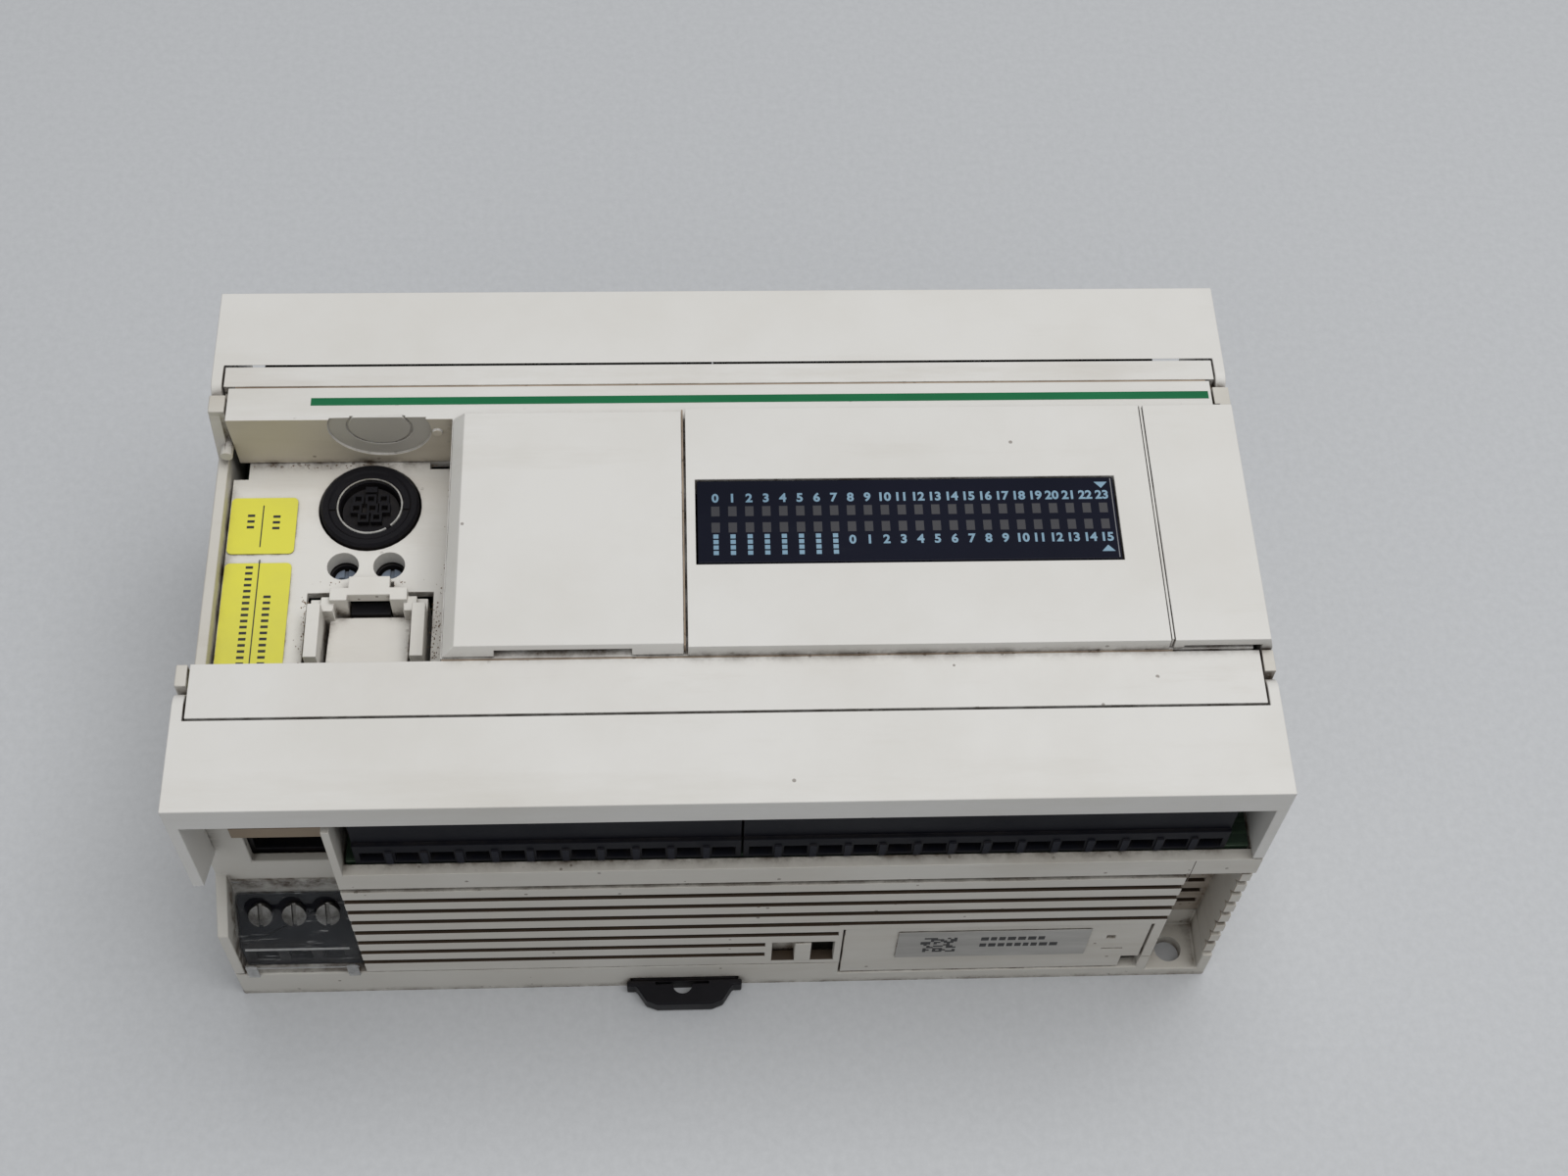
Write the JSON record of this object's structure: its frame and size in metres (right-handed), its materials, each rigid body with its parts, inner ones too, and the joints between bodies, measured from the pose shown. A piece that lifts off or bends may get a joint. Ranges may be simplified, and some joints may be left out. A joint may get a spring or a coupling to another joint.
{
  "type": "compact programmable controller",
  "caption": "Rail-mounted controller block with hinged terminal covers, indicator window, open port bay, louvred sides, network and power corner and a sliding rail clip.",
  "frame": {"origin": "on the back plane, below the middle of the object's box", "axes": "+Z out of the front, +X to the right along the length, -Y towards the output and power side"},
  "size_m": [0.157, 0.0944, 0.07],
  "materials": {
    "case_plastic": "fine satin moulded plastic, warm off-white, lightly soiled in its seams",
    "black_plastic": "satin black glass-filled plastic",
    "terminal_plastic": "satin navy-black plastic",
    "window_plastic": "smooth dark navy film with light blue numerals",
    "clear_plastic": "clear moulded light pipe",
    "smoky_plastic": "clear slightly smoky plastic, scratched",
    "circuit_board": "green solder resist",
    "plated_ring": "thin plated steel ring",
    "screw_steel": "zinc plated, slotted",
    "trimmer_plastic": "grey-blue moulded plastic",
    "relay_plastic": "smooth black relay case",
    "capacitor_sleeve": "shrunk plastic sleeve",
    "transformer_core": "ferrite core with a taped winding",
    "cell_sleeve": "printed metal sleeve, left blank",
    "yellow_label": "matte yellow sticker with one black rule",
    "silver_label": null
  },
  "bodies": {
    "controller": {"address_label": "yellow_label", "battery": "cell_sleeve", "battery_holder": "black_plastic", "bay_tray": "case_plastic", "board_link": "black_plastic", "bulk_capacitor": "capacitor_sleeve", "cartridge_bracket": "case_plastic", "case_screw_lower_left": "screw_steel", "case_screw_lower_right": "screw_steel", "case_screw_upper_left": "screw_steel", "case_screw_upper_right": "screw_steel", "clock_label": "yellow_label", "display_socket": "black_plastic", "expansion_socket": "black_plastic", "front_bezel": "case_plastic", "front_frame": "case_plastic", "input_terminals_left": "terminal_plastic", "input_terminals_right": "terminal_plastic", "io_board": "circuit_board", "led_window": "window_plastic", "left_end_wall": "case_plastic", "light_guide": "clear_plastic", "logic_board": "circuit_board", "lower_louvre_wall": "case_plastic", "network_socket": "black_plastic", "output_relay_1": "relay_plastic", "output_relay_2": "relay_plastic", "output_relay_3": "relay_plastic", "output_relay_4": "relay_plastic", "output_terminals_left": "terminal_plastic", "output_terminals_right": "terminal_plastic", "power_board": "circuit_board", "power_screw_left": "screw_steel", "power_screw_middle": "screw_steel", "power_screw_right": "screw_steel", "power_terminals": "black_plastic", "processor": "black_plastic", "rear_base": "case_plastic", "right_end_wall": "case_plastic", "serial_port": "black_plastic", "serial_port_ring": "plated_ring", "transformer": "transformer_core", "trimmer_body": "black_plastic", "upper_louvre_wall": "case_plastic"},
    "lower_cover": {"lower_terminal_cover": "case_plastic"},
    "upper_cover": {"upper_terminal_cover": "case_plastic"},
    "display_lid": {"display_cover": "case_plastic"},
    "expansion_lid": {"expansion_cover": "case_plastic"},
    "power_lid": {"power_terminal_cover": "smoky_plastic"},
    "battery_lid": {"battery_door": "case_plastic", "battery_door_label": "silver_label"},
    "rail_clip": {"rail_clip": "black_plastic"},
    "mode_slider": {"slider": "case_plastic"},
    "left_trimmer": {"trimmer_left": "trimmer_plastic"},
    "right_trimmer": {"trimmer_right": "trimmer_plastic"}
  },
  "joints": [
    {"name": "lower_cover_hinge", "type": "hinge", "parent": "controller", "child": "lower_cover", "pos_m": [0, -0.02605, 0.0648], "axis": [-1, 0, 0], "range_deg": [0, 80]},
    {"name": "upper_cover_hinge", "type": "hinge", "parent": "controller", "child": "upper_cover", "pos_m": [0, 0.03055, 0.0648], "axis": [1, 0, 0], "range_deg": [0, 80]},
    {"name": "display_cover_lift", "type": "slide", "parent": "controller", "child": "display_lid", "axis": [0, 0, 1], "range_m": [0, 0.015]},
    {"name": "expansion_cover_lift", "type": "slide", "parent": "controller", "child": "expansion_lid", "axis": [0, 0, 1], "range_m": [0, 0.03]},
    {"name": "power_cover_pull", "type": "slide", "parent": "controller", "child": "power_lid", "axis": [0, -1, 0], "range_m": [0, 0.012]},
    {"name": "battery_door_pull", "type": "slide", "parent": "controller", "child": "battery_lid", "axis": [0, -1, 0], "range_m": [0, 0.012]},
    {"name": "rail_clip_slide", "type": "slide", "parent": "controller", "child": "rail_clip", "axis": [0, -1, 0], "range_m": [0, 0.004]},
    {"name": "mode_slider_slide", "type": "slide", "parent": "controller", "child": "mode_slider", "axis": [1, 0, 0], "range_m": [0, 0.0034]},
    {"name": "left_trimmer_turn", "type": "hinge", "parent": "controller", "child": "left_trimmer", "pos_m": [-0.0585, 0.00475, 0.05], "axis": [0, 0, 1], "range_deg": [-135, 135]},
    {"name": "right_trimmer_turn", "type": "hinge", "parent": "controller", "child": "right_trimmer", "pos_m": [-0.0515, 0.00475, 0.05], "axis": [0, 0, 1], "range_deg": [-135, 135]}
  ]
}
